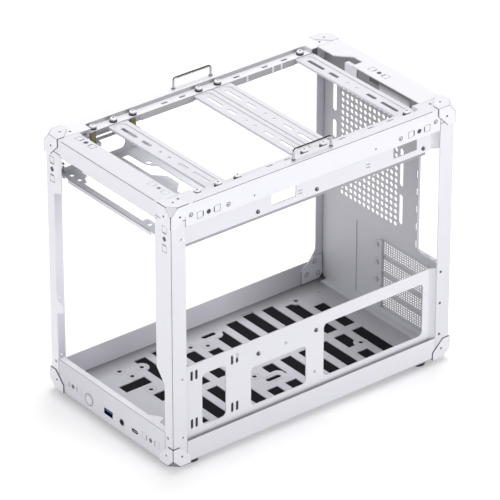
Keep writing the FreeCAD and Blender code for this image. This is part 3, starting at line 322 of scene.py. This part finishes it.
def onAxis(axis, a, b, level):  # a point of the plane that crosses the axis at this level
    if axis == "x":
        return Vector((level, a, b))
    if axis == "y":
        return Vector((a, level, b))
    return Vector((a, b, level))


def addBox(bm, low, high):
    low, high = Vector(low) / 1000, Vector(high) / 1000
    size = high - low
    spot = Matrix.Translation((low + high) / 2) @ Matrix.Diagonal((size.x, size.y, size.z, 1.0))
    bmesh.ops.create_cube(bm, size=1.0, matrix=spot)


def addRod(bm, axis, at, radius, reach, sides=20, far=None):
    low, high = reach
    spot = Matrix.Translation(onAxis(axis, at[0], at[1], (low + high) / 2) / 1000) @ turns[axis]
    tip = radius if far is None else far
    bmesh.ops.create_cone(bm, cap_ends=True, cap_tris=False, segments=sides, radius1=radius / 1000,
                          radius2=tip / 1000, depth=(high - low) / 1000, matrix=spot)


def addRing(bm, axis, at, radii, reach, sides=24):
    outer, inner = radii
    low, high = reach
    corners = ((outer, low), (inner, low), (inner, high), (outer, high))
    verts = [bm.verts.new(onAxis(axis, at[0] + radius, at[1], level) / 1000) for radius, level in corners]
    edges = [bm.edges.new((verts[i - 1], verts[i])) for i in range(4)]
    bmesh.ops.spin(bm, geom=verts + edges, cent=onAxis(axis, at[0], at[1], 0.0) / 1000,
                   axis=onAxis(axis, 0.0, 0.0, 1.0), angle=2 * math.pi, steps=sides, use_merge=True)


def addBand(bm, start, end, across, deep):  # a bar between two points, its width and depth as vectors
    start, end = Vector(start), Vector(end)
    columns = [v / 1000 for v in (end - start, Vector(across), Vector(deep), (start + end) / 2)]
    rows = [(*column, last) for column, last in zip(columns, (0.0, 0.0, 0.0, 1.0))]
    bmesh.ops.create_cube(bm, size=1.0, matrix=Matrix(rows).transposed())


def newPiece(name, bm, tone, body="chassis"):
    bmesh.ops.recalc_face_normals(bm, faces=bm.faces)
    mesh = bpy.data.meshes.new(name)
    bm.to_mesh(mesh)
    bm.free()
    piece = bpy.data.objects.new(name, mesh)
    bpy.context.collection.objects.link(piece)
    mesh.materials.append(mats[tone])
    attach(piece, body)


def boxPiece(name, boxes, tone):
    bm = bmesh.new()
    for low, high in boxes:
        addBox(bm, low, high)
    newPiece(name, bm, tone)


halfWide = 100.25
halfDeep = 175.0
topFace = 291.5
floorTop = 7.0
capRise = 1.0  # how far the corner caps stand out from the sheets
capWide = halfWide + capRise
capDeep = halfDeep + capRise
capTop = topFace + capRise
capLow = 5.0
faceLevels = {"x": halfWide, "y": halfDeep, "z": topFace}


def up(height):  # a height that was measured from the lowest edge of the caps
    return height + capLow


# Fine dark lines where the sheets are bent or meet: painted shade along the bends

outward = {"right": (1, 0, 0), "left": (-1, 0, 0), "front": (0, -1, 0), "rear": (0, 1, 0), "top": (0, 0, 1)}


def edgeBand(bm, start, end, sides, spec):  # laid slantwise over the edge between two sides
    first, second = [Vector(outward[side]) * math.sqrt(0.5) for side in sides]
    addBand(bm, start, end, (first - second) * spec["wide"], (first + second) * spec["rise"])


bendLines = {"wide": 0.52, "rise": 0.14, "inset": 0.44, "side": 154.4, "front": 79.4,
             "upright": (26.8, 270.7)}
inset, foot, head = bendLines["inset"], *bendLines["upright"]
edgeX, edgeY, edgeTop = halfWide - inset, -halfDeep + inset, topFace - inset
bm = bmesh.new()
run = bendLines["side"]
edgeBand(bm, (edgeX, -run, edgeTop), (edgeX, run, edgeTop), ("right", "top"), bendLines)
edgeBand(bm, (edgeX, edgeY, foot), (edgeX, edgeY, head), ("right", "front"), bendLines)
run = bendLines["front"]
edgeBand(bm, (-run, edgeY, edgeTop), (run, edgeY, edgeTop), ("front", "top"), bendLines)
newPiece("bendLines", bm, "edgeLine")

panelLines = {"wide": 0.4, "rise": 0.12, "front": 87.2, "top": 41.0}
run, level = panelLines["front"], panelLines["top"] - inset
bm = bmesh.new()
edgeBand(bm, (-run, edgeY, level), (run, edgeY, level), ("front", "top"), panelLines)
for side, x in (("left", -edgeX), ("right", edgeX)):
    edgeBand(bm, (x, -edgeY, foot), (x, -edgeY, head), (side, "rear"), panelLines)
newPiece("panelLines", bm, "softLine")
print("bend lines drawn")


# Seams between the sheets drawn as dark lines, and dark lines of painted contact shadow round the corner caps

seamRise = 0.12


def seam(bm, axis, level, start, end, wide):
    start, end = Vector(start), Vector(end)
    run = (end - start).normalized()
    across = onAxis(axis, -run.y * wide, run.x * wide, 0.0)
    deep = onAxis(axis, 0.0, 0.0, seamRise)
    addBand(bm, onAxis(axis, *start, level), onAxis(axis, *end, level), across, deep)


seams = {
    "strong": (
        ("y", -halfDeep, (-88.2, 275.8), (-76.0, 275.8), 0.9),
        ("y", -halfDeep, (76.0, 276.6), (84.0, 276.6), 0.7),
        ("x", halfWide, (-162.0, 275.6), (-157.4, 275.6), 0.8),
        ("x", halfWide, (-157.6, 275.6), (-157.6, 268.0), 0.6),
        ("x", halfWide, (157.4, 275.0), (165.5, 275.0), 0.8),
        ("x", halfWide, (157.5, 283.0), (157.5, 267.5), 0.6),
        ("y", -halfDeep, (-87.6, 14.0), (-87.6, 40.5), 0.5),
    ),
    "soft": (
        ("x", halfWide, (-157.6, 14.0), (-157.6, 30.0), 0.6),
        ("x", halfWide, (157.6, 27.0), (157.6, 14.0), 0.5),
        ("y", -halfDeep, (87.6, 14.0), (87.6, 40.5), 0.5),
        ("y", -halfDeep, (-79.0, 273.8), (79.0, 273.8), 0.25),
    ),
}
# painted contact shadow along the outlines of the corner caps
capSeams = {
    "reach": 21.6,
    "short": 8.8,
    "start": 1.0,
    "rows": (  # axis, right or left, rear or front, upper, runs of the outline, width
        ("y", -1, -1, False, (0, 1, 2), 0.7),
        ("x", 1, 1, False, (0, 1, 2), 0.7),
        ("y", -1, -1, True, (0, 1), 0.5),
        ("x", 1, 1, True, (0, 1), 0.6),
        ("y", 1, -1, False, (2,), 0.7),
        ("x", 1, -1, False, (2,), 0.7),
    ),
}
bm = bmesh.new()
for row in seams["strong"]:
    seam(bm, *row)
for axis, sx, sy, upper, runs, wide in capSeams["rows"]:
    level = sx * halfWide if axis == "x" else sy * halfDeep
    side, plane = (sy, capDeep) if axis == "x" else (sx, capWide)
    base, way = (capTop, -1) if upper else (capLow, 1)
    start, far, edge = capSeams["start"], capSeams["reach"] + wide / 2, capSeams["short"] + wide * 0.2
    outline = [(far, start), (far, edge), (edge, far), (start, far)]
    points = [(side * (plane - u), base + way * v) for u, v in outline]
    for i in runs:
        seam(bm, axis, level, points[i], points[i + 1], wide)
newPiece("capSeams", bm, "edgeLine")
bm = bmesh.new()
for row in seams["soft"]:
    seam(bm, *row)
newPiece("sheetSeams", bm, "softLine")
print("seams drawn")


# Raised edge of the tray wall beside the lower plate, and the end of the left rail

sideEdges = {  # low and high corners of each box
    "tray": [((99.35, -157.4, 8.0), (100.31, 157.4, 30.0))],
    "grooveShade": [((99.0, -157.0, 29.3), (99.35, 157.0, 29.98)), ((99.35, -157.0, 30.0), (99.7, 157.0, 30.04))],
    "rail": [((-100.25, 157.0, 267.5), (-99.3, 164.2, 290.5))],
}
boxPiece("trayEdge", sideEdges["tray"], "coatWall")
# dark strips of painted shade in the bend between the lower plate and the tray edge
boxPiece("trayGrooveShade", sideEdges["grooveShade"], "grooveShade")
# the end of the left rail in the dark shade tone: painted shade on its inner side
boxPiece("leftRailEnd", sideEdges["rail"], "coatShade")
print("tray edge added")


# Clip faces set in the sheets

clipFace = {"outer": 14.0, "inner": 7.2, "wide": 3.7, "line": 0.5, "rise": 0.08, "hook": 1.2, "dash": 1.5,
            "ring": (2.5, 1.5)}
clipFaces = (  # axis, side, place on the sheet, upright, how strongly it shows
    ("x", 1, -130.0, 275.5, False, "dark"),
    ("x", 1, 130.0, 275.5, False, "dark"),
    ("x", -1, -130.0, 275.5, False, "faint"),
    ("x", -1, 130.0, 275.5, False, "faint"),
    ("z", 1, -58.0, -157.0, False, "faint"),
    ("z", 1, 58.0, -157.0, False, "ghost"),
    ("z", 1, 4.0, 159.0, False, "faint"),
    ("y", -1, -90.0, up(250.0), True, "dark"),
    ("y", -1, 90.0, up(251.5), True, "faint"),
    ("y", -1, -64.0, up(15.0), False, "pale"),
    ("y", -1, 64.0, up(15.0), False, "pale"),
)
clipTones = {  # marks, frames
    "dark": ("line", "edgeLine"),
    "faint": ("edgeLine", "softLine"),
    "pale": ("softLine", "paleLine"),
    "ghost": ("paleLine", "paleLine"),
}


def clipRects(spec):
    outer, inner, wide, line = spec["outer"], spec["inner"], spec["wide"], spec["line"]
    strong, thin = [], []
    for s in (-1, 1):
        strong.append((sorted((s * inner, s * (inner - spec["hook"]))), (-wide * 0.75, wide * 0.75)))
        thin.append((sorted((s * outer, s * (outer - line))), (-wide, wide)))
        step = inner
        while step < outer:
            run = sorted((s * step, s * min(outer, step + spec["dash"])))
            for side in (-1, 1):
                thin.append((run, sorted((side * wide, side * (wide - line)))))
            step += spec["dash"] * 1.6
    return strong, thin


def sheetReach(axis, way, rise):  # from the face of the sheet to a little above it
    level = way * faceLevels[axis]
    return sorted((level, level + way * rise))


marks = {kind: (bmesh.new(), bmesh.new()) for kind in clipTones}
for axis, way, a, b, upright, kind in clipFaces:
    reach = sheetReach(axis, way, clipFace["rise"])
    for bm, rects in zip(marks[kind], clipRects(clipFace)):
        for first, second in rects:
            if upright:
                first, second = second, first
            addBox(bm, *[onAxis(axis, a + first[i], b + second[i], reach[i]) for i in (0, 1)])
    addRing(marks[kind][0], axis, (a, b), clipFace["ring"], reach, 18)
for kind, (strong, thin) in marks.items():
    newPiece(kind + "ClipMarks", strong, clipTones[kind][0])
    newPiece(kind + "ClipFrames", thin, clipTones[kind][1])
print("clip faces drawn")


# Heads of the bracket screws with their cross recesses, the sides and recesses in painted shade

screws = {"x": 83.05, "lines": (-130.5, -105.6, -82.0, -0.6, 22.9, 127.9), "radius": 3.55,
          "levels": (289.3, 290.7, 291.3, 291.8), "taper": (1.0, 0.98, 0.9, 0.6),
          "dimple": 0.75, "cross": 1.2, "slit": 0.6, "turn": 0.5}
levels, radii = screws["levels"], [screws["radius"] * factor for factor in screws["taper"]]
sides, heads, crosses = bmesh.new(), bmesh.new(), bmesh.new()
top = levels[-1]
for s in (-1, 1):
    for y in screws["lines"]:
        at = (s * screws["x"], y)
        for i, bm in enumerate((sides, heads, heads)):
            addRod(bm, "z", at, radii[i], levels[i:i + 2], 20, radii[i + 1])
        addRod(crosses, "z", at, screws["dimple"], (top, top + 0.05), 12)
        centre = Vector((*at, top + 0.04))
        for turn in (screws["turn"], screws["turn"] + math.pi / 2):
            arm = Vector((math.cos(turn), math.sin(turn), 0.0))
            slit = Vector((-arm.y, arm.x, 0.0)) * screws["slit"]
            arm = arm * screws["cross"]
            addBand(crosses, centre - arm, centre + arm, slit, (0.0, 0.0, 0.1))
newPiece("screwSides", sides, "softLine")
newPiece("screwHeads", heads, "screwWhite")
newPiece("screwCrosses", crosses, "line")
print("screw heads added")


# Rings and dots of the fixings

fixings = {
    "rise": 0.08,
    "ring": (  # axis, side, place on the sheet, radius
        ("x", 1, -151.0, up(274.0), 2.5),
        ("x", 1, 151.0, up(274.0), 2.5),
        ("x", 1, -106.5, up(270.0), 2.5),
        ("x", 1, 106.5, up(270.0), 2.5),
        ("y", -1, -92.0, up(31.6), 1.6),
        ("y", -1, 92.0, up(31.6), 1.6),
    ),
    "dot": (
        ("x", 1, -75.0, up(269.0), 0.9),
        ("x", 1, 75.0, up(269.0), 0.9),
        ("z", 1, -86.0, -155.5, 1.3),
        ("z", 1, 86.0, -155.5, 1.3),
        ("z", 1, -86.0, 155.5, 1.3),
        ("z", 1, 86.0, 155.5, 1.3),
        ("x", 1, 162.5, up(28.3), 1.5),
        ("x", 1, 162.5, up(64.5), 1.5),
        ("x", 1, 162.5, up(100.6), 1.5),
        ("y", -1, 88.1, 280.3, 0.9),
        ("y", -1, -88.1, 280.3, 0.9),
    ),
}
rings, dots = bmesh.new(), bmesh.new()
for axis, way, a, b, radius in fixings["ring"]:
    reach = sheetReach(axis, way, fixings["rise"])
    addRing(rings, axis, (a, b), (radius, radius * 0.66), reach, 18)
    addRod(dots, axis, (a - 0.3 * way, b - 0.2), radius * 0.34, reach, 12)
for axis, way, a, b, radius in fixings["dot"]:
    addRod(dots, axis, (a, b), radius, sheetReach(axis, way, fixings["rise"]), 12)
newPiece("fixingRings", rings, "edgeLine")
newPiece("fixingDots", dots, "line")
print("fixings marked")


# Ends of the studs and screws on the board sheets with a painted highlight on each stud end, and patches of
# painted shade behind the plate's slots

studs = {
    "face": {"plate": 95.95, "rail": 94.95},
    "plate": ((-66.9, 93.7), (5.49, 93.7)),
    "rail": ((-66.9, 251.18), (5.49, 251.18), (140.0, 251.0)),
    "radius": 2.1,
    "length": 0.95,
    "glint": 0.7,
    "rings": ((-32.5, up(87.8)), (4.1, up(41.5))),
    "slotted": ((70.0, 255.0), (-15.0, 255.0)),
}
ends, glints, faint = bmesh.new(), bmesh.new(), bmesh.new()
for sheet, face in studs["face"].items():
    tip = face + studs["length"]
    for y, z in studs[sheet]:
        addRod(ends, "x", (y, z), studs["radius"], (face, tip), 16)
        # painted highlight on each stud end
        addRod(glints, "x", (y + 0.6, z + 0.8), studs["glint"], (tip, tip + 0.05), 10)
face = studs["face"]["plate"]
for at in studs["rings"]:
    addRing(faint, "x", at, (1.6, 0.8), (face, face + 0.1), 14)
face = studs["face"]["rail"]
for y, z in studs["slotted"]:
    for step in (-1.6, 1.6):
        addBox(ends, (face, y - 2.4, z + step - 0.3), (face + 0.1, y + 2.4, z + step + 0.3))
newPiece("studEnds", ends, "line")
newPiece("studGlints", glints, "paleLine")
newPiece("plateRings", faint, "softLine")

# patches of painted shade behind the plate's slots, dark on the side that faces out
slotShadePatches = {
    "x": (93.2, 93.4),
    "rows": ((-151.5, -139.8, 38.0, 51.0), (-102.0, -90.0, 38.0, 51.0), (-151.5, -139.8, 92.0, 105.0),
             (-102.0, -90.0, 92.0, 96.5)),
}
near, far = slotShadePatches["x"]
boxes = [((near, low, foot), (far, high, head)) for low, high, foot, head in slotShadePatches["rows"]]
boxPiece("slotShadePatches", boxes, "slotShade")
print("stud ends added")


# Rear channel under the top, seen through the gap in front of it, with painted shade on its face and under
# the rear bracket's slots

rearChannel = {  # low and high corners of each box
    "end": [((-36.4, 147.9, 281.0), (-17.6, 148.0, 290.45)),
            ((-36.4, 147.9, 290.45), (-25.0, 153.0, 290.56))],
    "face": [((17.8, 147.9, 281.0), (63.9, 148.0, 290.4))],
    "clip": [((x - 0.7, 147.6, 285.6), (x + 0.7, 148.2, 290.3)) for x in (3.5, 6.5, 9.5, 12.5, 15.5)],
    # dark plates of painted shade under the rear bracket's slots
    "shadeUnderSlots": [((-71.0, 125.2, 284.3), (-20.5, 130.6, 284.7)), ((20.5, 125.2, 284.3), (71.0, 130.6, 284.7))],
}
boxPiece("channelEnd", rearChannel["end"], "coatTop")
boxPiece("channelFace", rearChannel["face"], "channelFace")
boxPiece("springClip", rearChannel["clip"], "line")
boxPiece("rearBracketSlotShade", rearChannel["shadeUnderSlots"], "coatShade")
print("rear channel dressed")


# Pressed rims round the holes and slots of the floor, drawn as grey rings and bars of painted shade

floorRims = {
    "reach": (floorTop, floorTop + 0.2),
    "radii": (6.3, 5.8),
    "holes": ((-76, -109), (-61, -104), (-69, -86), (-29, -104.5), (-69, -24), (-61, -8), (-76, 119),
              (15.5, -8), (30, 118.7)),
    "slots": ((-76.5, -3.6, 13.6), (29.6, -3.8, 14.4)),
    "aside": 5.6,
    "half": 0.25,
}
base, crest = floorRims["reach"]
bm = bmesh.new()
for at in floorRims["holes"]:
    addRing(bm, "z", at, floorRims["radii"], floorRims["reach"], 28)
for x, low, high in floorRims["slots"]:
    for s in (-1, 1):
        middle = x + s * floorRims["aside"]
        addBox(bm, (middle - floorRims["half"], low, base), (middle + floorRims["half"], high, crest))
newPiece("floorRims", bm, "rimLine")
print("floor rims added")


# Tabs under the left ledge, fold of the hanging bracket and body of a clip

smallTabs = {  # low and high corners of each box
    "ledge": [((-78.2, y - 1.2, 281.5), (-77.6, y + 1.2, 287.4)) for y in (56.6, 89.4, 100.3)],
    "fold": [((-66.0, -173.5, 253.3), (66.0, -173.38, 254.1)),
             ((-79.0, -152.4, 253.9), (-78.2, -76.0, 254.05))],
    "clip": [((-76.4, -172.6, low), (-73.6, -171.8, high))
             for low, high in ((250.5, 253.5), (256.5, 260.0), (261.0, 263.5), (265.0, 267.5))],
}
boxPiece("ledgeTabs", smallTabs["ledge"], "coatTop")
# the fold of the hanging bracket drawn as a dark line of painted shade
boxPiece("bracketFold", smallTabs["fold"], "edgeLine")
boxPiece("clipBody", smallTabs["clip"], "edgeLine")
print("small tabs added")


# Edge and screws of the corner gusset, and the screws of the pillar beside it

gusset = {
    "face": -97.75,
    "line": 0.5,
    "edges": (((143.9, 23.0), (144.0, 8.5)), ((159.9, 36.0), (172.0, 36.0)), ((172.0, 36.0), (172.0, 12.5)),
              ((172.0, 12.5), (167.7, 7.4))),
    "screws": ((12.8, 24.2), (23.9, 11.4), (8.1, 8.5)),
    "rim": (3.0, 2.4),
    "middle": 0.9,
    "head": 1.4,
}
face, head = gusset["face"], gusset["face"] + gusset["head"]
bm = bmesh.new()
for start, end in gusset["edges"]:
    seam(bm, "x", face, start, end, gusset["line"])
for back, height in gusset["screws"]:
    at = (halfDeep - back, up(height))
    addRing(bm, "x", at, gusset["rim"], (face, face + 0.1), 18)
    addRod(bm, "x", at, gusset["middle"], (head, head + 0.1), 12)
newPiece("gussetLines", bm, "edgeLine")

pillarScrews = {"reach": (173.1, 174.1), "upper": (-54.8, 56.4), "lower": (-71.6, 11.0), "radii": (1.5, 1.9),
                "dot": 0.7}
reach, radii = pillarScrews["reach"], pillarScrews["radii"]
bm = bmesh.new()
for place, radius in zip(("upper", "lower"), radii):
    addRing(bm, "y", pillarScrews[place], (radius, radius * 0.6), reach, 18)
addRod(bm, "y", pillarScrews["upper"], pillarScrews["dot"], reach, 12)
newPiece("pillarScrews", bm, "edgeLine")
print("gusset lines drawn")


# Centres of the cap fixings, sunk in their holes

capCentres = {"inset": 11.2, "radius": 1.3, "sunk": (0.2, 0.5)}
inset, radius = capCentres["inset"], capCentres["radius"]
bm = bmesh.new()
for sx in (-1, 1):
    for sy in (-1, 1):
        x, y = sx * (capWide - inset), sy * (capDeep - inset)
        for outer, way in ((capLow, 1), (capTop, -1)):
            z = outer + way * inset
            reach = {
                "x": sorted(sx * (capWide - depth) for depth in capCentres["sunk"]),
                "y": sorted(sy * (capDeep - depth) for depth in capCentres["sunk"]),
                "z": sorted(outer + way * depth for depth in capCentres["sunk"]),
            }
            for axis, at in (("x", (y, z)), ("y", (x, z)), ("z", (x, y))):
                addRod(bm, axis, at, radius, reach[axis], 12)
newPiece("capCentres", bm, "line")
print("cap centres added")


# Port details

ports = {
    "tongue": [((-10.6, -174.6, 18.5), (0.6, -163.0, 20.0))],
    "socket": [((35.2, -175.15, 17.6), (41.2, -169.0, 18.2))],
    "button": (-37.0, 17.9),
    "ring": {"radii": (6.75, 6.0), "reach": (-175.5, -175.38), "sides": 40},
    "dish": {"radii": (4.7, 4.3), "reach": (-175.66, -175.58), "sides": 36},
}
boxPiece("portTongue", ports["tongue"], "tongue")
# dark ring of painted shade in the gap round the power button
bm = bmesh.new()
addRing(bm, "y", ports["button"], **ports["ring"])
newPiece("buttonRing", bm, "edgeLine")
bm = bmesh.new()
addRing(bm, "y", ports["button"], **ports["dish"])
newPiece("buttonDish", bm, "softLine", "button")
boxPiece("socketTongue", ports["socket"], "portSteel")
print("ports detailed")


# Camera, light and ground

view = {"place": (2.7788, -2.1935, 2.1530), "down": 29.5836, "turn": 51.7317, "focus": 4104.565,
        "frame": 500.0}
camera = bpy.data.cameras.new("camera")
cameraPiece = bpy.data.objects.new("camera", camera)
bpy.context.collection.objects.link(cameraPiece)
cameraPiece.location = view["place"]
cameraPiece.rotation_euler = (math.radians(90 - view["down"]), 0.0, math.radians(view["turn"]))
camera.sensor_width = 36.0
camera.lens = view["focus"] * 36.0 / view["frame"]
camera.clip_end = 50.0
bpy.context.scene.camera = cameraPiece
bpy.context.scene.view_settings.view_transform = "Standard"

world = bpy.data.worlds.new("sky")
bpy.context.scene.world = world
world.use_nodes = True
sky = world.node_tree.nodes["Background"]
sky.inputs["Color"].default_value = (1.0, 1.0, 1.0, 1.0)
sky.inputs["Strength"].default_value = 0.52

lampAim = Vector((0.0, 0.0, 0.12))
lamps = {
    "rightLamp": {"at": (2.8, 0.6, 0.75), "size": (2.0, 1.2), "power": 37.0},
    "topLamp": {"at": (-0.2, 0.35, 2.8), "size": (1.1, 1.1), "power": 29.0},
    "leftLamp": {"at": (-1.9, 1.9, 2.4), "size": (1.8, 1.8), "power": 16.0},
    "frontLamp": {"at": (-0.6, -2.9, 0.65), "size": (2.0, 1.1), "power": 15.5},
}
for name, spec in lamps.items():
    lamp = bpy.data.lights.new(name, "AREA")
    lamp.shape = "RECTANGLE"
    lamp.size, lamp.size_y = spec["size"]
    lamp.energy = spec["power"]
    lampPiece = bpy.data.objects.new(name, lamp)
    bpy.context.collection.objects.link(lampPiece)
    lampPiece.location = spec["at"]
    lampPiece.rotation_euler = (lampAim - Vector(spec["at"])).to_track_quat("-Z", "Y").to_euler()

groundLook = {"color": (0.93, 0.93, 0.93), "rough": 0.9, "gloss": 0.0, "spread": 0.0, "bump": 0.0}
groundGlow = 0.19  # seen by the camera and in reflections, and doesn't light the case
groundTone = surface("groundTone", groundLook)
tree = groundTone.node_tree
rays = tree.nodes.new("ShaderNodeLightPath")
seen = rays.outputs["Is Camera Ray"]
for kind in ("Is Glossy Ray", "Is Transmission Ray"):
    seen = combined(tree, "MAXIMUM", seen, rays.outputs[kind])
shader = tree.nodes["Principled BSDF"]
shader.inputs["Emission Color"].default_value = (1.0, 1.0, 1.0, 1.0)
tree.links.new(blendValue(tree, seen, span(0.0, 1.0, 0.0, groundGlow)), shader.inputs["Emission Strength"])

mesh = bpy.data.meshes.new("ground")
bm = bmesh.new()
bmesh.ops.create_grid(bm, x_segments=1, y_segments=1, size=8.0)
bm.to_mesh(mesh)
bm.free()
ground = bpy.data.objects.new("ground", mesh)
bpy.context.collection.objects.link(ground)
mesh.materials.append(groundTone)
print("stage set")
